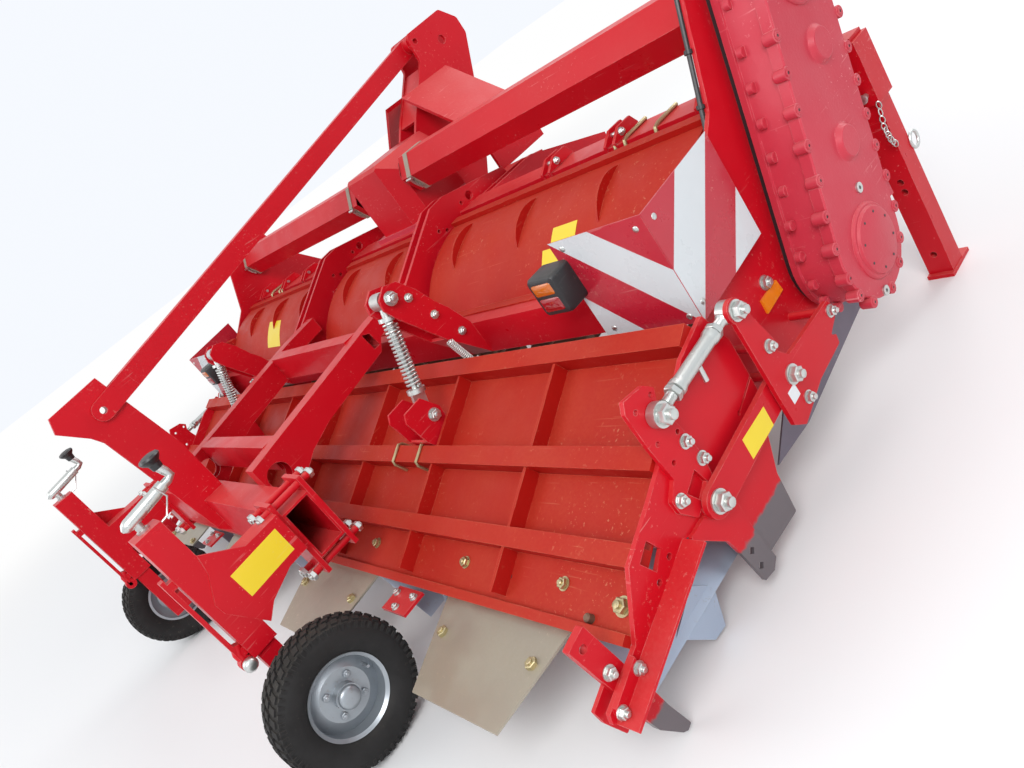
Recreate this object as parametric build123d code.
"""Four-row ridge forming tiller on its parking stands and depth wheels.

Units are millimetres. X points to the machine's right, Y forward to the tractor, Z up.
The pieces are drawn with the rotor's axis at Y = 0. Each is moved as it is written, so that the
origin lies on the ground, in the centre plane, midway between the mast's front and the tyres' rear.
Right-hand pieces are drawn once and mirrored, so each pair stays alike.
"""

import os
from math import asin, atan2, cos, degrees, hypot, radians, sin

from build123d import *

os.makedirs("parts", exist_ok=True)

# Rows and width
ROW_SPACING = 750
ROW_COUNT = 4
RIDGE_X = [(i - (ROW_COUNT - 1) / 2) * ROW_SPACING for i in range(ROW_COUNT)]
WALL_X = 1430
WALL_T = 10

# Rotor
ROTOR_Z = 342
ROTOR_R = 262
ROTOR_TUBE_R = 70
ROTOR_PITCH = 94
TINE_COUNT = 4
TINE_T = 12
SHAFT_R = 35
RUNNING_GAP = 0.05
ROTOR_END_GAP = 8
BEARING_R = 78
BEARING_LENGTH = 25

# Main beam, a square tube across the machine
BEAM = 100
BEAM_WALL = 8
BEAM_Y = 75
BEAM_Z = 672

# Gear train in the side case, as (Y, Z, case radius, cover radius)
GEAR_STATIONS = [
    (0, ROTOR_Z, 106, 68),
    (50, 537, 92, 27),
    (103, 727, 84, 27),
    (155, 880, 96, 60),
]
CASE_FLANGE_T = 22
CASE_T = 130
CASE_FLANGE_LIP = 16
COVER_RISE = 26
BOSS_R = 30
CASE_X = WALL_X + WALL_T
DRIVE_Y = GEAR_STATIONS[-1][0]
DRIVE_Z = GEAR_STATIONS[-1][1]

# Drive shaft guards and the centre gearbox
SHEET = 3
GUARD_R = 72
GEARBOX_HALF = 92
GEARBOX_GUARD_HALF = 150
GEARBOX_FOOT_Z = 738
STUB_HALF = 190
SHAFT_HOLE_R = 40
PTO_R = 17.45
PTO_FRONT_Y = 420

# Rotor covers and the cross beam they close on
LID_R = 368
LID_SHEET = 4
LID_CHEEK_R = LID_R - 68
HINGE_Y = -12
HINGE_Z = 700
HINGE_R = 8
LID_GAP = 30
CENTRE_LID_GAP = 8
CROSS_FRONT_Y = -303
CROSS_REAR_Y = -368
CROSS_TOP_Z = 555
CROSS_LOW_Z = 461
CROSS_WALL = 6
SEAT_GAP = 0.3

# Goosenecks and the rear support frame
ARM_X = 385
ARM_W = 60
GOOSENECK_T = 12
REAR_ARM_W = 55
CENTRE_LID_HALF = ARM_X - ARM_W / 2 - REAR_ARM_W - CENTRE_LID_GAP
REAR_TUBE_Y = -978
REAR_TUBE_Z = 455
REAR_TUBE_DEPTH = 80
REAR_TUBE_HEIGHT = 140
REAR_TUBE_WALL = 6
REAR_TUBE_HALF = 640
STRUT_TOP = (535, 1203)
STRUT_REAR = (-1040, 901)
CENTRE_PLATE_T = 16

# Depth wheels
WHEEL_X = REAR_TUBE_HALF + 110
WHEEL_Y = -1208
TYRE_R = 175
TYRE_W = 100
RIM_R = 96
AXLE_R = 15
MAST_X = REAR_TUBE_HALF - 15
MAST = 66
MAST_Y = WHEEL_Y - 30
MAST_TOP_Z = 712
MAST_LOW_Z = 348
STEM = 50

# Hood and its linkage, pivots as (Y, Z)
HOOD_WALL_GAP = 50
HOOD_HALF = WALL_X + WALL_T + HOOD_WALL_GAP
HOOD_T = 5
HOOD_TOP = (-430, 476)
HOOD_LOW = (-940, 222)
RIB = 45
END_PLATE_T = 10
UPPER_PIVOT = (-387, 474)
LOWER_PIVOT = (-343, 286)
HOOD_UPPER_EYE = (-645, 461)
HOOD_LOWER_EYE = (-646, 258)
LINK_T = 12
LINK_GAP = 4
OPEN_EYE_GAP = 0.4
PIVOT_R = 10
LINK_X = HOOD_HALF + END_PLATE_T + LINK_GAP

# Spring struts
SPRING_X = 700
SPRING_TOP = (-514, 745)
SPRING_LOW = (-610, 461)
SPRING_PIN_R = 9
SPRING_EYE_GAP = 1.2
COIL_R = 17
WIRE_R = 3
BRACKET_T = 8

# Parking stands
STAND_Y = 400
STAND_TUBE = 60
STAND_SLEEVE_WALL = 8
STAND_TOP_Z = 640
STAND_X = WALL_X + WALL_T + STAND_SLEEVE_WALL + SEAT_GAP + STAND_TUBE / 2

# The headstock reaches furthest forward and the tyres furthest back
HEADSTOCK_FRONT_Y = 755
MIDDLE_Y = (HEADSTOCK_FRONT_Y + WHEEL_Y - TYRE_R) / 2


def outline(points, radius=0.0):
    """A flat sketch from corner points, with every corner rounded."""
    sketch = make_face(Polyline(*points, close=True))
    if radius:
        sketch = fillet(sketch.vertices(), radius)
    return sketch


def side_plate(sketch, x, thickness):
    """Extrude a (Y, Z) sketch along +X from x."""
    return extrude(Plane.YZ.offset(x) * sketch, thickness)


def hole_at(centre, radius):
    return Pos(*centre) * Circle(radius)


def rod(centre, radius, x0, x1):
    """A round bar along X between x0 and x1."""
    return extrude(Plane.YZ.offset(x0) * hole_at(centre, radius), x1 - x0)


def box(x0, x1, y0, y1, z0, z1):
    """A block between opposite corners."""
    return Pos((x0 + x1) / 2, (y0 + y1) / 2, (z0 + z1) / 2) * Box(
        abs(x1 - x0), abs(y1 - y0), abs(z1 - z0)
    )


def bar_outline(start, end, width):
    """A slot outline whose round ends centre on two (Y, Z) points."""
    length = hypot(end[0] - start[0], end[1] - start[1])
    angle = degrees(atan2(end[1] - start[1], end[0] - start[0]))
    centre = ((start[0] + end[0]) / 2, (start[1] + end[1]) / 2)
    return Pos(*centre) * Rot(0, 0, angle) * SlotCenterToCenter(length, width)


def straight_outline(start, end, width):
    """A rectangle along a line between two (Y, Z) points."""
    length = hypot(end[0] - start[0], end[1] - start[1])
    angle = degrees(atan2(end[1] - start[1], end[0] - start[0]))
    centre = ((start[0] + end[0]) / 2, (start[1] + end[1]) / 2)
    return Pos(*centre) * Rot(0, 0, angle) * Rectangle(length, width)


def mirrored(shape):
    return mirror(shape, about=Plane.YZ)


def write(name, shape):
    export_step(Pos(0, -MIDDLE_Y, 0) * shape, f"parts/{name}.step")


def write_pair(name, shape):
    write(f"{name}_right", shape)
    write(f"{name}_left", mirrored(shape))


def main_beam():
    """Square tube from wall to wall."""
    outer = box(-WALL_X, WALL_X, BEAM_Y - BEAM / 2, BEAM_Y + BEAM / 2, BEAM_Z - BEAM / 2, BEAM_Z + BEAM / 2)
    hollow = BEAM / 2 - BEAM_WALL
    return outer - box(-WALL_X, WALL_X, BEAM_Y - hollow, BEAM_Y + hollow, BEAM_Z - hollow, BEAM_Z + hollow)


WALL_OUTLINE = [
    (-395, 490),
    (-345, 515),
    (-70, 735),
    (40, 968),
    (265, 968),
    (330, 800),
    (470, 640),
    (470, 470),
    (250, 300),
    (140, 214),
    (-310, 214),
    (-385, 270),
    (-395, 310),
]


def side_wall():
    """Side plate with the rotor's bearing ring inside and the stand's sleeve outside."""
    sketch = outline(WALL_OUTLINE, 18)
    sketch -= hole_at((0, ROTOR_Z), SHAFT_R + RUNNING_GAP)
    wall = side_plate(sketch, WALL_X, WALL_T)
    wall += rod((HINGE_Y, HINGE_Z), HINGE_R, WALL_X - LID_GAP - 6, WALL_X)
    ring = hole_at((0, ROTOR_Z), BEARING_R) - hole_at((0, ROTOR_Z), SHAFT_R + RUNNING_GAP)
    wall += side_plate(ring, WALL_X - BEARING_LENGTH, BEARING_LENGTH)
    inner = STAND_TUBE / 2 + SEAT_GAP
    outer = inner + STAND_SLEEVE_WALL
    sleeve = box(STAND_X - outer, STAND_X + outer, STAND_Y - outer, STAND_Y + outer, 480, 630)
    sleeve -= box(STAND_X - inner, STAND_X + inner, STAND_Y - inner, STAND_Y + inner, 470, 640)
    return wall + sleeve


def case_outline(grow):
    """Rounded outline round the gear stations."""
    edges = []
    for y, z, radius, _ in GEAR_STATIONS:
        edges += hole_at((y, z), radius + grow).edges()
    return make_hull(edges)


def gear_case():
    """Cast case: bolting flange, tapered body and a round cover over each shaft."""
    flange = side_plate(case_outline(CASE_FLANGE_LIP), CASE_X, CASE_FLANGE_T)
    body = extrude(Plane.YZ.offset(CASE_X + CASE_FLANGE_T) * case_outline(0), CASE_T - CASE_FLANGE_T, taper=5)
    case = flange + body
    face = CASE_X + CASE_T
    for y, z, _, cover_r in GEAR_STATIONS:
        if cover_r > BOSS_R:
            case += rod((y, z), cover_r, face - 6, face + COVER_RISE - 12)
            case += rod((y, z), cover_r - 12, face, face + COVER_RISE)
        else:
            case += extrude(Plane.YZ.offset(face - 6) * hole_at((y, z), cover_r + 6), COVER_RISE + 6, taper=14)
    return case


def hexagon_guard(grow):
    """Six-sided guard outline round the drive shaft, ridges to the rear and front."""
    radius = GUARD_R + grow
    points = [(DRIVE_Y + radius * cos(radians(a)), DRIVE_Z + radius * sin(radians(a))) for a in range(0, 360, 60)]
    return outline(points)


def shaft_guard():
    start = GEARBOX_GUARD_HALF + 20
    return side_plate(hexagon_guard(0) - hexagon_guard(-SHEET), start, WALL_X - start)


GUARD_REAR_Y = 60
GUARD_FRONT_Y = 300
GUARD_TOP_Z = 964
GUARD_BEVEL = 50


def guard_block(inset):
    """Block with bevelled rear and upper corners, cut from its side, front and top outlines."""
    half = GEARBOX_GUARD_HALF - inset
    rear = GUARD_REAR_Y + inset
    front = GUARD_FRONT_Y - inset
    top = GUARD_TOP_Z - inset
    low = GEARBOX_FOOT_Z
    side = outline([(rear, low), (rear, top - 12), (rear + 12, top), (front, top), (front, low)])
    block = side_plate(side, -half, 2 * half)
    plan = outline([(half - GUARD_BEVEL, rear), (half, rear + GUARD_BEVEL), (half, front), (-half, front),
                    (-half, rear + GUARD_BEVEL), (GUARD_BEVEL - half, rear)])
    block &= extrude(plan, top)
    face = outline([(half, low), (half, top - GUARD_BEVEL), (half - GUARD_BEVEL, top), (GUARD_BEVEL - half, top),
                    (-half, top - GUARD_BEVEL), (-half, low)])
    return block & extrude(Plane.XZ * face, -front)


def gearbox_guard():
    """Folded cover over the centre gearbox, open below, at its shafts and to the front."""
    shell = guard_block(0) - guard_block(SHEET)
    shell -= rod((DRIVE_Y, DRIVE_Z), SHAFT_HOLE_R + 12, -GEARBOX_GUARD_HALF, GEARBOX_GUARD_HALF)
    return shell - box(-70, 70, GUARD_FRONT_Y - 10, GUARD_FRONT_Y + 10, DRIVE_Z - 70, DRIVE_Z + 70)


def gearbox():
    """Centre gearbox as one block, with its foot plate, output stubs and power take-off shaft."""
    beam_top = BEAM_Z + BEAM / 2
    block = box(-GEARBOX_HALF, GEARBOX_HALF, 80, 260, beam_top, 945)
    block += box(-GEARBOX_GUARD_HALF, GEARBOX_GUARD_HALF, 50, GUARD_FRONT_Y, beam_top, GEARBOX_FOOT_Z)
    block += rod((DRIVE_Y, DRIVE_Z), SHAFT_HOLE_R, -STUB_HALF, STUB_HALF)
    block += extrude(Plane.XZ.offset(-260) * Pos(0, DRIVE_Z) * Circle(40), -46)
    return block + extrude(Plane.XZ.offset(-300) * Pos(0, DRIVE_Z) * Circle(PTO_R), -(PTO_FRONT_Y - 300))


MAST_OUTLINE = [
    (310, 625),
    (310, 960),
    (360, 1010),
    (505, 1140),
    (515, 1235),
    (700, 1245),
    (HEADSTOCK_FRONT_Y, 1190),
    (HEADSTOCK_FRONT_Y, 1130),
    (560, 800),
    (420, 625),
]
TOP_LINK = (640, 1157)
LOWER_LINK = (600, 560)
LOWER_LINK_X = 482.5
LOWER_PIN_REACH = 80
LOWER_PIN_R = 18.3
TOP_PIN_R = 16
MAST_PLATE_T = 12
MAST_PLATE_X = 50
LEG_REAR_Y = 350
LEG_FRONT_Y = 590


def headstock():
    """Headstock: two mast plates with a slanted leg each, a cross tube, and a hitch pin in each pair of low plates."""
    sketch = outline(MAST_OUTLINE, 20) - hole_at(TOP_LINK, TOP_PIN_R) - hole_at(STRUT_TOP, PIVOT_R)
    right = side_plate(sketch, MAST_PLATE_X, MAST_PLATE_T)
    rear = BEAM_Y + BEAM / 2
    lower = outline([(rear, 622), (rear, 722), (330, 722), (660, 610), (660, 520), (560, 500)])
    for x in (LOWER_LINK_X - 57, LOWER_LINK_X - MAST_PLATE_T):
        right += side_plate(lower, x, MAST_PLATE_T)
    right += rod(LOWER_LINK, LOWER_PIN_R, LOWER_LINK_X - 57, LOWER_LINK_X + LOWER_PIN_REACH)
    leg = outline([(62, 1080), (62, 1066), (288, 854), (288, 708), (300, 708), (300, 860)])
    right += extrude(Plane.XZ.offset(-LEG_REAR_Y) * leg, LEG_REAR_Y - LEG_FRONT_Y)
    stock = right + mirrored(right)
    stock += box(-LOWER_LINK_X, LOWER_LINK_X, 310, 380, 630, 710)
    for x in (-GEARBOX_GUARD_HALF - 30, GEARBOX_GUARD_HALF + 10):
        stock += box(x, x + 20, 125, 330, 640, 700)
    inner = ARM_X - ARM_W / 2 - 10
    stock += box(-inner, inner, rear, rear + 15, 625, 719)
    plate = straight_outline((352, 990), (500, 1120), 10)
    return stock + side_plate(plate, -MAST_PLATE_X - MAST_PLATE_T, 2 * (MAST_PLATE_X + MAST_PLATE_T))


GOOSENECK_OUTLINE = [
    (278, 668),
    (260, 742),
    (166, 762),
    (6, 794),
    (-55, 790),
    (-121, 756),
    (-262, 680),
    (-330, 644),
    (-345, 612),
    (CROSS_FRONT_Y - 4, CROSS_TOP_Z),
    (-238, CROSS_TOP_Z),
    (-80, 650),
    (BEAM_Y - BEAM / 2, 650),
    (BEAM_Y - BEAM / 2, 615),
    (160, 615),
]


# Holes in the arm plates, as (Y, Z, radius)
GOOSENECK_HOLES = [
    (90, 744, 14),
    (177, 692, 22),
    (50, 742, 6),
    (-75, 722, 6),
    (-48, 708, 6),
    (147, 656, 6),
]


def gooseneck():
    """Pair of arm plates round the main beam, over the rotor to the cross beam."""
    sketch = outline(GOOSENECK_OUTLINE)
    for y, z, radius in GOOSENECK_HOLES:
        sketch -= hole_at((y, z), radius)
    sketch -= Pos(BEAM_Y, BEAM_Z) * Rectangle(BEAM, BEAM)
    low = ARM_X - ARM_W / 2
    high = ARM_X + ARM_W / 2
    pair = side_plate(sketch, low, GOOSENECK_T) + side_plate(sketch, high - GOOSENECK_T, GOOSENECK_T)
    pair += box(low, high, -262, -230, CROSS_TOP_Z, 670) & side_plate(sketch, low, ARM_W)
    for x0, x1 in ((CENTRE_LID_HALF - 6, low), (high, high + LID_GAP + 6)):
        pair += rod((HINGE_Y, HINGE_Z), HINGE_R, x0, x1)
    return pair


def cross_beam():
    """Box beam from wall to wall that the rotor covers close on."""
    beam = box(-WALL_X, WALL_X, CROSS_REAR_Y, CROSS_FRONT_Y, CROSS_LOW_Z, CROSS_TOP_Z)
    return beam - box(-WALL_X, WALL_X, CROSS_REAR_Y + CROSS_WALL, CROSS_FRONT_Y - CROSS_WALL,
                      CROSS_LOW_Z + CROSS_WALL, CROSS_TOP_Z - CROSS_WALL)


def polar(radius, angle):
    """Point (Y, Z) at a radius and angle about the rotor's axis."""
    return radius * cos(radians(angle)), ROTOR_Z + radius * sin(radians(angle))


def arc_band(radius, thickness, start, end):
    """Ring segment about the rotor's axis, from radius inwards."""
    outer = ThreePointArc(polar(radius, start), polar(radius, (start + end) / 2), polar(radius, end))
    inner_r = radius - thickness
    inner = ThreePointArc(polar(inner_r, end), polar(inner_r, (start + end) / 2), polar(inner_r, start))
    return make_face([outer, Line(outer @ 1, inner @ 0), inner, Line(inner @ 1, outer @ 0)])


LID_START = 97
LID_END = 180 - degrees(asin((CROSS_TOP_Z + 2 - ROTOR_Z) / LID_R))


def lid(x0, x1):
    """Curved cover with a folded top flange, a lip on the cross beam and a cheek at each end."""
    sheet = arc_band(LID_R, LID_SHEET, LID_START, LID_END)
    lip_y, lip_z = polar(LID_R - LID_SHEET, LID_END)
    lip = Pos(lip_y - 14, CROSS_TOP_Z + SEAT_GAP + 2) * Rectangle(32, 4)
    top_y, top_z = polar(LID_R, LID_START)
    flange = outline([(top_y + 2, top_z - 5), (top_y - 2, top_z + 14), (top_y + 30, top_z + 16), (top_y + 30, top_z + 12),
                      (top_y + 4, top_z + 10), (top_y + 6, top_z - 5)])
    body = side_plate(sheet + lip + flange, x0, x1 - x0)
    cheek = arc_band(LID_R - 1, LID_R - LID_CHEEK_R, 100, LID_END - 3)
    cheek += outline([(HINGE_Y + 20, HINGE_Z - 14), (HINGE_Y + 8, HINGE_Z + 14), polar(LID_R - 2, 100),
                      polar(LID_CHEEK_R + 12, 107), polar(LID_CHEEK_R + 2, 104)], 6)
    cheek -= hole_at((HINGE_Y, HINGE_Z), HINGE_R + RUNNING_GAP)
    body += side_plate(cheek, x0, 5)
    body += side_plate(cheek, x1 - 5, 5)
    return body


LID_RIB_HEIGHT = 22
LID_RIB_T = 5
SIDE_LID_RIBS = [567, 863, 1160]
CENTRE_LID_RIB = 160


def lid_rib(x):
    """Thin curved rib on a cover's outer face, highest at its middle."""
    start = LID_START + 3
    end = LID_START + 28
    middle = (start + end) / 2
    outer = ThreePointArc(polar(LID_R - 1, start), polar(LID_R + LID_RIB_HEIGHT, middle), polar(LID_R - 1, end))
    inner = ThreePointArc(polar(LID_R - 1, end), polar(LID_R - 1, middle), polar(LID_R - 1, start))
    return side_plate(make_face([outer, inner]), x - LID_RIB_T / 2, LID_RIB_T)


BOARD_X = 1470
BOARD_T = 2
BOARD_REAR_Y = -403
BOARD_W = 254
BOARD_ARM_ANGLE = 125


def side_lid():
    """Lid between a gooseneck and the wall, with the arm that carries the warning board."""
    body = lid(ARM_X + ARM_W / 2 + LID_GAP, WALL_X - LID_GAP)
    for x in SIDE_LID_RIBS:
        body += lid_rib(x)
    arm_y, arm_z = polar(LID_R + 5, BOARD_ARM_ANGLE)
    return body + box(WALL_X - LID_GAP - 26, BOARD_X - BOARD_T, arm_y - 11, arm_y + 11, arm_z - 15, arm_z + 15)


def centre_lid():
    """Lid that swings up between the two rear arms."""
    return lid(-CENTRE_LID_HALF, CENTRE_LID_HALF) + lid_rib(-CENTRE_LID_RIB) + lid_rib(CENTRE_LID_RIB)


REAR_ARM_OUTLINE = [
    (-270, 664),
    (-400, 654),
    (-430, 650),
    (REAR_TUBE_Y + REAR_TUBE_DEPTH / 2, 576),
    (REAR_TUBE_Y + REAR_TUBE_DEPTH / 2, 400),
    (-880, 440),
    (-780, 500),
    (-690, 529),
    (-439, 566),
    (-410, 600),
    (-270, 612),
]


REAR_ARM_WALL = 6
REAR_ARM_HOLE = (-891, 517)
REAR_ARM_HOLE_R = 35
REAR_ARM_WINDOW = [(-457, 640), (-434, 629), (-429, 585), (-451, 585)]


def rear_arm():
    """Longitudinal box arm from the gooseneck's foot to the rear tube, with a round and a square window."""
    high = ARM_X - ARM_W / 2
    low = high - REAR_ARM_W
    sketch = outline(REAR_ARM_OUTLINE)
    arm = side_plate(sketch, low, REAR_ARM_W)
    arm -= side_plate(offset(sketch, -REAR_ARM_WALL), low + REAR_ARM_WALL, REAR_ARM_W - 2 * REAR_ARM_WALL)
    return arm - side_plate(hole_at(REAR_ARM_HOLE, REAR_ARM_HOLE_R) + outline(REAR_ARM_WINDOW), low, REAR_ARM_W)


def rear_tube():
    """Rear cross tube, with the centre plate for the long strut and two cross members."""
    half_y = REAR_TUBE_DEPTH / 2
    half_z = REAR_TUBE_HEIGHT / 2
    tube = box(-REAR_TUBE_HALF, REAR_TUBE_HALF, REAR_TUBE_Y - half_y, REAR_TUBE_Y + half_y,
               REAR_TUBE_Z - half_z, REAR_TUBE_Z + half_z)
    in_y = half_y - REAR_TUBE_WALL
    in_z = half_z - REAR_TUBE_WALL
    tube -= box(-REAR_TUBE_HALF, REAR_TUBE_HALF, REAR_TUBE_Y - in_y, REAR_TUBE_Y + in_y,
                REAR_TUBE_Z - in_z, REAR_TUBE_Z + in_z)
    rear = REAR_TUBE_Y - half_y
    top = REAR_TUBE_Z + half_z
    points = [(-950, top), (rear, top), (rear, 400), (-1044, 434), (-1096, 830), (-1112, 862), (-1168, 928),
              (-1152, 970), (-996, 980), (-952, 700)]
    sketch = outline(points)
    sketch -= hole_at(STRUT_REAR, PIVOT_R)
    return tube + side_plate(sketch, -CENTRE_PLATE_T / 2, CENTRE_PLATE_T)


def cross_member(y, z):
    """Box between the two rear arms."""
    half = ARM_X - ARM_W / 2 - REAR_ARM_W
    return box(-half, half, y - 24, y + 24, z - 42, z + 42)


def top_strut():
    """Long rectangular tube from the mast to the rear centre plate."""
    body = side_plate(straight_outline(STRUT_TOP, (-960, 916), 60), -20, 40)
    ears = straight_outline((-930, 922), STRUT_REAR, 60)
    ears += hole_at(STRUT_REAR, 30)
    ears -= hole_at(STRUT_REAR, PIVOT_R)
    gap = CENTRE_PLATE_T / 2 + 0.3
    fork = side_plate(ears, gap, 12) + side_plate(ears, -gap - 12, 12)
    body -= box(-gap, gap, -1100, -945, 850, 1000)
    head = hole_at(STRUT_TOP, 30)
    body += side_plate(head, -MAST_PLATE_X + 0.3, 2 * (MAST_PLATE_X - 0.3))
    return body + fork


ARM_LOW_Z = 437
BAR_TOP_Z = 610
CARRIER_GUSSET = [
    (-1030, 545),
    (-1122, 545),
    (-1205, 606),
    (-1215, 560),
    (-1250, 500),
    (-1248, 470),
    (-1195, 381),
    (-1160, 410),
    (-1085, ARM_LOW_Z),
    (-1030, ARM_LOW_Z),
]


def wheel_carrier():
    """Clamp on the rear tube, arm with its gusset, mast sleeve, adjusting bar, stem and axle of one depth wheel."""
    half_y = REAR_TUBE_DEPTH / 2
    half_z = REAR_TUBE_HEIGHT / 2
    x0 = REAR_TUBE_HALF - 95
    x1 = REAR_TUBE_HALF
    front = REAR_TUBE_Y + half_y
    rear = REAR_TUBE_Y - half_y
    low = REAR_TUBE_Z - half_z
    top = REAR_TUBE_Z + half_z
    clamp = box(x0, x1, front, front + 12, low - 40, top + 40)
    clamp += box(x0, x1, rear - 12, rear, low - 40, top + 40)
    mast_front = MAST_Y + MAST / 2
    clamp += box(MAST_X - MAST / 2, MAST_X + MAST / 2, mast_front, rear - 12, ARM_LOW_Z, top + 20)
    clamp += side_plate(outline(CARRIER_GUSSET), MAST_X + MAST / 2, 6)
    for x in (x0 + 20, x1 - 20):
        for z in (low - 22, top + 22):
            bolt = Plane.XZ.offset(-(rear - 40)) * Pos(x, z) * Circle(9)
            clamp += extrude(bolt, -(front + 40 - (rear - 40)))
    sleeve = box(MAST_X - MAST / 2, MAST_X + MAST / 2, MAST_Y - MAST / 2, mast_front, MAST_LOW_Z, MAST_TOP_Z)
    stem = box(MAST_X - STEM / 2, MAST_X + STEM / 2, MAST_Y - STEM / 2, MAST_Y + STEM / 2, TYRE_R - 30, MAST_LOW_Z)
    foot = box(MAST_X - STEM / 2, MAST_X + STEM / 2, MAST_Y, WHEEL_Y + 30, TYRE_R - 30, TYRE_R + 30)
    axle = rod((WHEEL_Y, TYRE_R), AXLE_R, MAST_X + STEM / 2, WHEEL_X + 20)
    collar = rod((WHEEL_Y, TYRE_R), 26, MAST_X + STEM / 2, WHEEL_X - 42)
    mast_rear = MAST_Y - MAST / 2
    bar = box(MAST_X - 12, MAST_X + 12, mast_rear - 22, mast_rear - 12, MAST_LOW_Z - 10, BAR_TOP_Z)
    for z in (MAST_LOW_Z + 12, BAR_TOP_Z - 32):
        bar += box(MAST_X - 12, MAST_X + 12, mast_rear - 12, mast_rear, z, z + 20)
    return clamp + sleeve + stem + foot + axle + collar + bar


def tyre():
    """Small ballooned tyre, turned from its half section."""
    half = TYRE_W / 2
    section = Polyline((RIM_R, -34), (RIM_R + 24, -half), (TYRE_R - 20, -half), (TYRE_R, 0), (TYRE_R - 20, half),
                       (RIM_R + 24, half), (RIM_R, 34), close=True)
    ring = revolve(make_face(section), Axis.Y)
    return Pos(WHEEL_X, WHEEL_Y, TYRE_R) * Rot(0, 0, -90) * ring


def rim():
    """Dished rim with a hub that runs on the axle."""
    inner = RIM_R - 8
    points = [(AXLE_R + RUNNING_GAP, -40), (26, -40), (26, -8), (60, 4), (inner, -16), (inner, -34),
              (RIM_R, -34), (RIM_R, 38), (inner, 32), (inner, -4), (60, 12), (30, 12), (30, 34),
              (AXLE_R + RUNNING_GAP, 34)]
    return Pos(WHEEL_X, WHEEL_Y, TYRE_R) * Rot(0, 0, -90) * revolve(make_face(Polyline(*points, close=True)), Axis.Y)


def rotor():
    """Tube with flange plates that carry the tines, and a shaft stub in each wall."""
    half = WALL_X - BEARING_LENGTH - ROTOR_END_GAP
    reel = rod((0, ROTOR_Z), ROTOR_TUBE_R, -half, half)
    reel += rod((0, ROTOR_Z), SHAFT_R, -WALL_X - WALL_T + 2, WALL_X + WALL_T - 2)
    count = int(2 * (half - 40) // ROTOR_PITCH)
    arm = Polyline((60, -26), (150, -22), (ROTOR_R, -34), (ROTOR_R, -4), (150, 22), (60, 26), close=True)
    star = Sketch() + [Rot(0, 0, 360 * i / TINE_COUNT) * make_face(arm) for i in range(TINE_COUNT)]
    star += Rectangle(150, 150)
    for i in range(count + 1):
        x = (i - count / 2) * ROTOR_PITCH
        turn = 37 * i
        plane = Plane.YZ.offset(x - TINE_T / 2)
        reel += extrude(plane * Pos(0, ROTOR_Z) * Rot(0, 0, turn) * star, TINE_T)
    return reel


def hood_frame():
    """Unit vectors (Y, Z) along the hood's slope and out of its upper face."""
    run = HOOD_TOP[0] - HOOD_LOW[0]
    rise = HOOD_TOP[1] - HOOD_LOW[1]
    length = hypot(run, rise)
    return (run / length, rise / length), (-rise / length, run / length), length


def on_hood(along, out):
    """Point (Y, Z) at a distance up the slope from the low edge and out of the face."""
    slope, normal, _ = hood_frame()
    return (HOOD_LOW[0] + along * slope[0] + out * normal[0], HOOD_LOW[1] + along * slope[1] + out * normal[1])


RIB_ROWS = [(0, 20, 14), (120, 40, RIB), (285, 44, RIB), (515, 44, RIB)]
CROSS_RIB_X = [0, 375, 750, 1125]


def hood_panel():
    """Inclined panel with its box ribs along X and flat ribs up the slope."""
    _, _, length = hood_frame()
    sketch = outline([on_hood(0, 0), on_hood(length, 0), on_hood(length, -HOOD_T), on_hood(0, -HOOD_T)])
    for along, width, height in RIB_ROWS:
        sketch += outline([on_hood(along, 0), on_hood(along + width, 0), on_hood(along + width, height),
                           on_hood(along, height)])
    half = HOOD_HALF - END_PLATE_T
    panel = side_plate(sketch, -half, 2 * half)
    flat = outline([on_hood(30, 0), on_hood(length - 20, 0), on_hood(length - 20, 38), on_hood(30, 38)])
    for x in CROSS_RIB_X:
        for side in {x, -x}:
            panel += side_plate(flat, side - 4, 8)
    return panel


END_PLATE_OUTLINE = [
    (-425, 500),
    (-520, 478),
    (-691, 385),
    (-749, 360),
    (-854, 320),
    (-875, 293),
    (-931, 220),
    (-1040, 190),
    (-1046, 172),
    (-1035, 160),
    (-728, 252),
    (-640, 200),
    (-603, 137),
    (-592, 62),
    (-480, 56),
    (-470, 150),
    (-440, 215),
    (-400, 280),
    (-395, 420),
]
END_PLATE_WINDOW = [(-798, 321), (-784, 285), (-817, 266), (-834, 305)]
END_PLATE_HOLES = [(-779, 262), (-825, 249)]
HOOD_BRACKET_PLATE = [
    (-696, 505),
    (-684, 524),
    (-632, 514),
    (-614, 495),
    (-627, 470),
    (-612, 400),
    (-606, 335),
    (-612, 290),
    (-690, 262),
    (-717, 300),
    (-718, 327),
    (-688, 352),
    (-695, 430),
]
HOOD_BRACKET_WINDOW = [(-640, 328), (-630, 290), (-662, 274), (-682, 312)]
HOOD_BRACKET_HOLES = [(-629, 491), (-675, 493), (-624, 403), (-674, 421), (-668, 372)]
WEAR_PLATE = [
    (-728, 250),
    (-720, 236),
    (-665, 174),
    (-656, 130),
    (-644, 45),
    (-613, 38),
    (-592, 52),
    (-600, 137),
    (-598, 215),
    (-620, 250),
]
WEAR_PLATE_HOLES = [(-632, 113), (-633, 74)]
SIDE_FLANGE = [(-735, 256), (-1040, 166)]
SIDE_FLANGE_W = 48
TINE_CLAMP = [(-950, 222), (-1030, 196), (-1036, 172), (-955, 190)]


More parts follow.
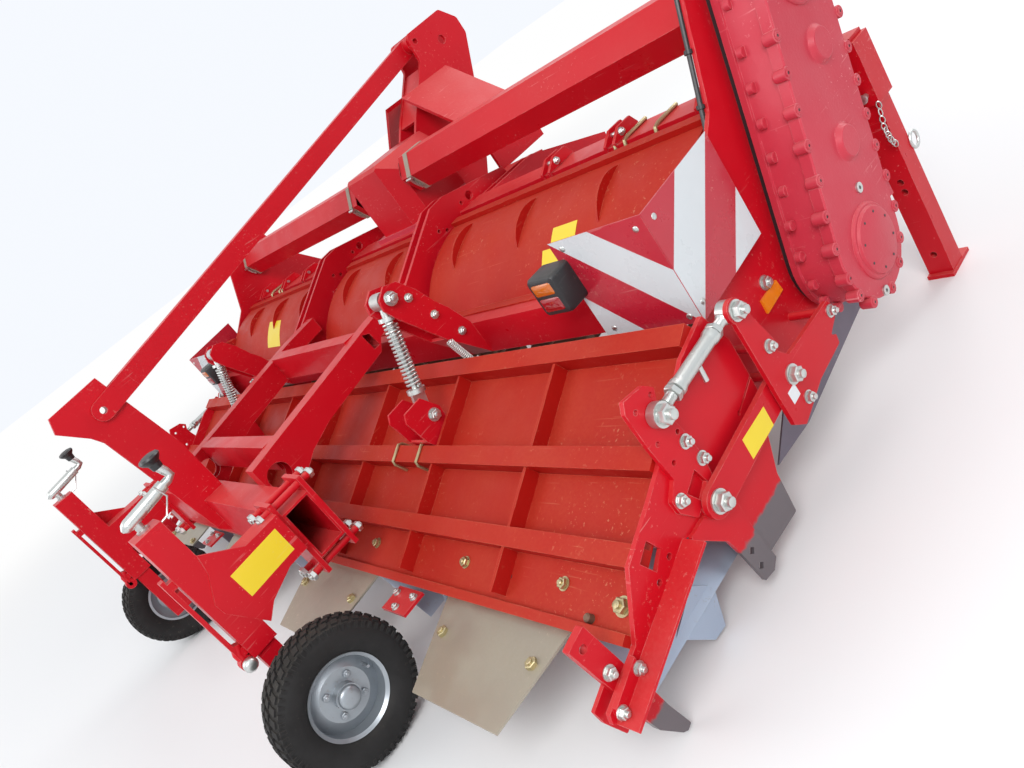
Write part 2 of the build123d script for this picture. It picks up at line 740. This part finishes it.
def hood_side():
    """End plate of the hood: keyhole slit, link bracket, wear plate, outward flange and the edge tine's clamp."""
    sketch = outline(END_PLATE_OUTLINE, 4) - outline(END_PLATE_WINDOW)
    for spot in END_PLATE_HOLES:
        sketch -= hole_at(spot, 6)
    sketch -= straight_outline((-390, 336), (-471, 306), 4) + hole_at((-471, 306), 5)
    plate = side_plate(sketch, HOOD_HALF - END_PLATE_T, END_PLATE_T)
    bracket = outline(HOOD_BRACKET_PLATE, 4) + hole_at(HOOD_LOWER_EYE, 30) - outline(HOOD_BRACKET_WINDOW)
    for spot in HOOD_BRACKET_HOLES:
        bracket -= hole_at(spot, 5)
    plate += side_plate(bracket, HOOD_HALF, END_PLATE_T)
    for eye in (HOOD_UPPER_EYE, HOOD_LOWER_EYE):
        plate += rod(eye, PIVOT_R, HOOD_HALF + END_PLATE_T, LINK_X + LINK_T + 14)
    wear = outline(WEAR_PLATE, 3)
    for y, z in WEAR_PLATE_HOLES:
        wear -= Pos(y, z) * Rot(0, 0, 45) * Rectangle(12, 12)
    plate += side_plate(wear, HOOD_HALF, 8)
    plate += side_plate(straight_outline(*SIDE_FLANGE, 6), HOOD_HALF, SIDE_FLANGE_W)
    return plate + side_plate(outline(TINE_CLAMP), HOOD_HALF, 12)


TINE_SHANK_T = 16
EDGE_TINE = [
    (-976, 323),
    (-1023, 316),
    (-1004, 188),
    (-994, 108),
    (-987, 70),
    (-957, 20),
    (-947, 12),
    (-934, 16),
    (-946, 80),
    (-950, 123),
    (-960, 196),
]
EDGE_TINE_HOLDER = [(-985, 215), (-1048, 195), (-1046, 165), (-1028, 112), (-985, 120)]


def edge_tine():
    """Flat tine behind the hood's end plate that cuts the outer furrow, with its inner holder plate."""
    outer = HOOD_HALF - END_PLATE_T
    shank = side_plate(outline(EDGE_TINE, 3) - hole_at((-1000, 297), 8), outer - TINE_SHANK_T, TINE_SHANK_T)
    return shank + side_plate(outline(EDGE_TINE_HOLDER, 3), outer - TINE_SHANK_T - 8, 8)


def lower_link():
    sketch = bar_outline(LOWER_PIVOT, HOOD_LOWER_EYE, 64)
    sketch -= hole_at(LOWER_PIVOT, PIVOT_R + RUNNING_GAP)
    sketch -= hole_at(HOOD_LOWER_EYE, PIVOT_R + RUNNING_GAP)
    return side_plate(sketch, LINK_X, LINK_T)


def turnbuckle():
    """Threaded adjuster with a round body and an eye at each end."""
    eyes = hole_at(UPPER_PIVOT, 24) + hole_at(HOOD_UPPER_EYE, 24)
    eyes -= hole_at(UPPER_PIVOT, PIVOT_R + RUNNING_GAP)
    eyes -= hole_at(HOOD_UPPER_EYE, PIVOT_R + OPEN_EYE_GAP)
    body = side_plate(eyes, LINK_X, LINK_T)
    middle = LINK_X + LINK_T / 2
    start = Vector(middle, *UPPER_PIVOT)
    end = Vector(middle, *HOOD_UPPER_EYE)
    way = (end - start).normalized()
    length = (end - start).length
    for near, far, radius in ((22, length - 22, 8), (60, length - 60, 15)):
        plane = Plane(origin=start + way * near, z_dir=way)
        body += extrude(plane * Circle(radius), far - near)
    return body


LINK_BRACKET_OUTLINE = [
    (-404, 470),
    (-404, 212),
    (-376, 189),
    (-330, 202),
    (-277, 218),
    (-176, 226),
    (-172, 246),
    (-190, 254),
    (-150, 272),
    (-138, 290),
    (-150, 314),
    (-322, 318),
    (-345, 345),
    (-338, 371),
    (-365, 462),
]
LINK_BRACKET_BOLTS = [(-360, 369), (-156, 292), (-335, 222)]


def link_bracket():
    """Forked outer plate on spacers from the side wall, with the two fixed link pins."""
    inner = LINK_X + LINK_T + LINK_GAP
    sketch = outline(LINK_BRACKET_OUTLINE, 4) + hole_at(UPPER_PIVOT, 24)
    plate = side_plate(sketch, inner, WALL_T)
    for spot in LINK_BRACKET_BOLTS:
        plate += rod(spot, 9, WALL_X + WALL_T, inner)
    plate += rod(LOWER_PIVOT, PIVOT_R, WALL_X + WALL_T, inner)
    return plate + rod(UPPER_PIVOT, PIVOT_R, LINK_X - LINK_GAP, inner)


def below_hood():
    """Wedge of space under the panel, used to trim the ridge sheets."""
    _, _, length = hood_frame()
    points = [on_hood(0, -HOOD_T), on_hood(length, -HOOD_T), (HOOD_TOP[0], 0), (HOOD_LOW[0], 0)]
    return side_plate(outline(points), -HOOD_HALF, 2 * HOOD_HALF)


RIDGE_TOP_HALF = 216
RIDGE_FOOT_HALF = 325
RIDGE_TOP_Z = 232
RIDGE_FOOT_Z = 90
SHEET_STEEL = 4


def ridge_sheets():
    """Stainless side sheets that press the ridges' flanks, trimmed under the hood."""
    slope = (RIDGE_FOOT_HALF - RIDGE_TOP_HALF) / (RIDGE_TOP_Z - RIDGE_FOOT_Z)
    top_z = 420
    top = RIDGE_FOOT_HALF - slope * (top_z - RIDGE_FOOT_Z)
    flank = [(top, top_z), (RIDGE_FOOT_HALF, RIDGE_FOOT_Z), (RIDGE_FOOT_HALF - SHEET_STEEL, RIDGE_FOOT_Z),
             (top - SHEET_STEEL, top_z)]
    face = Plane.XZ.offset(-HOOD_LOW[0]) * outline(flank)
    sheet = extrude(face, -330) & below_hood()
    sheets = []
    for x in RIDGE_X:
        sheets.append(Pos(x, 0, 0) * sheet)
        sheets.append(Pos(x, 0, 0) * mirrored(sheet))
    return Compound(children=[solid for piece in sheets for solid in piece.solids()])


TONGUE_END = (-1140, 178)
TONGUE_HALF = 212
TONGUE_END_HALF = 148


def tongue_plates():
    """Flat stainless plates that smooth each ridge's top, from under the hood's rear edge."""
    start = on_hood(0, -HOOD_T)
    seat = on_hood(20, -HOOD_T)
    seat_low = on_hood(20, -HOOD_T - SHEET_STEEL)
    profile = outline([seat, start, TONGUE_END, (TONGUE_END[0], TONGUE_END[1] - SHEET_STEEL),
                       (start[0] + 2, start[1] - SHEET_STEEL - 1), seat_low])
    strip = side_plate(profile, -TONGUE_HALF, 2 * TONGUE_HALF)
    shape = Polyline((-TONGUE_HALF, seat[0] + 5), (TONGUE_HALF, seat[0] + 5), (TONGUE_END_HALF, TONGUE_END[0]),
                     (-TONGUE_END_HALF, TONGUE_END[0]), close=True)
    plate = strip & extrude(make_face(shape), 400)
    return Compound(children=[solid for x in RIDGE_X for solid in (Pos(x, 0, 0) * plate).solids()])


SPRING_BRACKET_OUTLINE = [
    (CROSS_REAR_Y, 560),
    (-395, 628),
    (-415, 661),
    (-440, 719),
    (-470, 765),
    (-505, 776),
    (-537, 756),
    (-543, 730),
    (-524, 689),
    (-455, 573),
    (-418, 525),
    (CROSS_REAR_Y, CROSS_LOW_Z),
]
SPRING_PLATE_X = (SPRING_X - 40, SPRING_X + 32)


def spring_bracket():
    """Two plates on the cross beam that carry the spring strut's top bolt."""
    sketch = outline(SPRING_BRACKET_OUTLINE)
    plates = side_plate(sketch, SPRING_PLATE_X[0], BRACKET_T) + side_plate(sketch, SPRING_PLATE_X[1], BRACKET_T)
    web = outline([(CROSS_REAR_Y, CROSS_LOW_Z), (-418, 525), (-455, 573), (-450, 579), (-413, 533),
                   (CROSS_REAR_Y, CROSS_LOW_Z + 14)])
    plates += side_plate(web, SPRING_PLATE_X[0], SPRING_PLATE_X[1] - SPRING_PLATE_X[0])
    return plates + rod(SPRING_TOP, SPRING_PIN_R, SPRING_PLATE_X[0], SPRING_PLATE_X[1] + BRACKET_T + 10)


def strut_piece(near, far, radius, hollow=0.0):
    """Round bar on the spring's axis, between two distances from its top bolt."""
    start = Vector(SPRING_X, *SPRING_TOP)
    way = (Vector(SPRING_X, *SPRING_LOW) - start).normalized()
    ring = Circle(radius)
    if hollow:
        ring -= Circle(hollow)
    return extrude(Plane(origin=start + way * near, z_dir=way) * ring, far - near)


SPRING_LENGTH = hypot(SPRING_TOP[0] - SPRING_LOW[0], SPRING_TOP[1] - SPRING_LOW[1])
COIL_NEAR = 50
COIL_FAR = SPRING_LENGTH - 72


def spring_tube():
    """Upper half of the strut: eye, spring seat and guide tube."""
    eye = hole_at(SPRING_TOP, 22) - hole_at(SPRING_TOP, SPRING_PIN_R + RUNNING_GAP)
    body = side_plate(eye, SPRING_X - 22, 44)
    body += strut_piece(20, 40, 12) + strut_piece(40, COIL_NEAR, 24) + strut_piece(COIL_NEAR, 150, 11)
    return body - strut_piece(COIL_NEAR + 2, 151, 8.3)


def spring_rod():
    """Lower half: rod in the guide tube, seat and flat end with its eye."""
    eye = straight_outline(SPRING_LOW, (SPRING_LOW[0] + 22, SPRING_LOW[1] + 65), 36) + hole_at(SPRING_LOW, 18)
    eye -= hole_at(SPRING_LOW, SPRING_PIN_R + SPRING_EYE_GAP)
    body = side_plate(eye, SPRING_X - 6, 12)
    return body + strut_piece(112, COIL_FAR + 12, 8) + strut_piece(COIL_FAR, COIL_FAR + 12, 24)


def spring_coil():
    """Closed tube that stands for the coil between its two seats."""
    return strut_piece(COIL_NEAR + SEAT_GAP, COIL_FAR - SEAT_GAP, COIL_R + WIRE_R, COIL_R - WIRE_R)


def hood_bracket():
    """Two plates on the hood, in front of a rib, with the pin for the spring rod."""
    points = [on_hood(332, 0), on_hood(332, 60), on_hood(352, 128), on_hood(372, 142), on_hood(424, 118),
              on_hood(428, 60), on_hood(390, 0)]
    sketch = outline(points)
    plates = side_plate(sketch, SPRING_X - 50, 6) + side_plate(sketch, SPRING_X + 34, 6)
    back = outline([on_hood(332, 0), on_hood(332, 60), on_hood(338, 60), on_hood(338, 0)])
    plates += side_plate(back, SPRING_X - 50, 90)
    return plates + rod(SPRING_LOW, SPRING_PIN_R, SPRING_X - 50, SPRING_X + 40)


STAND_HOLES_Z = [275, 248, 64]


def parking_stand():
    """Square tube with pin holes and a foot plate, held in the wall's sleeve."""
    half = STAND_TUBE / 2
    tube = box(STAND_X - half, STAND_X + half, STAND_Y - half, STAND_Y + half, 10, STAND_TOP_Z)
    for z in STAND_HOLES_Z:
        tube -= extrude(Plane.XZ.offset(-STAND_Y) * Pos(STAND_X, z) * Circle(8), half, both=True)
    return tube + box(STAND_X - half - 2, STAND_X + half + 2, STAND_Y - half - 12, STAND_Y + half + 40, 0, 10)


def warning_board():
    """Sheet folded to one side face and one rear face."""
    front = BOARD_REAR_Y + BOARD_W
    side = outline([(BOARD_REAR_Y, 473), (BOARD_REAR_Y, 710), (front, 726), (front, 492)])
    board = side_plate(side, BOARD_X - BOARD_T, BOARD_T)
    return board + box(BOARD_X - BOARD_W, BOARD_X, BOARD_REAR_Y - BOARD_T, BOARD_REAR_Y, 473, 710)


def tail_lamp():
    """Lamp housing on the rear face of the warning board."""
    x0 = BOARD_X - BOARD_W - 60
    rear = BOARD_REAR_Y - BOARD_T
    return box(x0, x0 + 84, rear - 62, rear, 580, 670)


def side_skid():
    """Stainless strip below the side wall that guides the soil."""
    return side_plate(outline([(130, 216), (-260, 216), (-410, 110), (-270, 100), (100, 150)]), WALL_X + WALL_T, 4)


def build():
    write("main_beam", main_beam())
    write_pair("side_wall", side_wall())
    write_pair("gear_case", gear_case())
    write_pair("shaft_guard", shaft_guard())
    write("gearbox_guard", gearbox_guard())
    write("gearbox", gearbox())
    write("headstock", headstock())
    write_pair("gooseneck", gooseneck())
    write("cross_beam", cross_beam())
    write_pair("rotor_lid", side_lid())
    write("rotor_lid_centre", centre_lid())
    write_pair("rear_arm", rear_arm())
    write("rear_tube", rear_tube() + cross_member(-466, 606) + cross_member(-840, 548))
    write("top_strut", top_strut())
    write_pair("wheel_carrier", wheel_carrier())
    write_pair("tyre", tyre())
    write_pair("rim", rim())
    write("rotor", rotor())
    write("hood_panel", hood_panel())
    write_pair("hood_side", hood_side())
    write_pair("edge_tine", edge_tine())
    write_pair("hood_bracket", hood_bracket())
    write_pair("lower_link", lower_link())
    write_pair("turnbuckle", turnbuckle())
    write_pair("link_bracket", link_bracket())
    write("ridge_sheets", ridge_sheets())
    write("tongue_plates", tongue_plates())
    write_pair("spring_bracket", spring_bracket())
    write_pair("spring_tube", spring_tube())
    write_pair("spring_rod", spring_rod())
    write_pair("spring_coil", spring_coil())
    write_pair("parking_stand", parking_stand())
    write_pair("warning_board", warning_board() + tail_lamp())
    write_pair("side_skid", side_skid())


build()
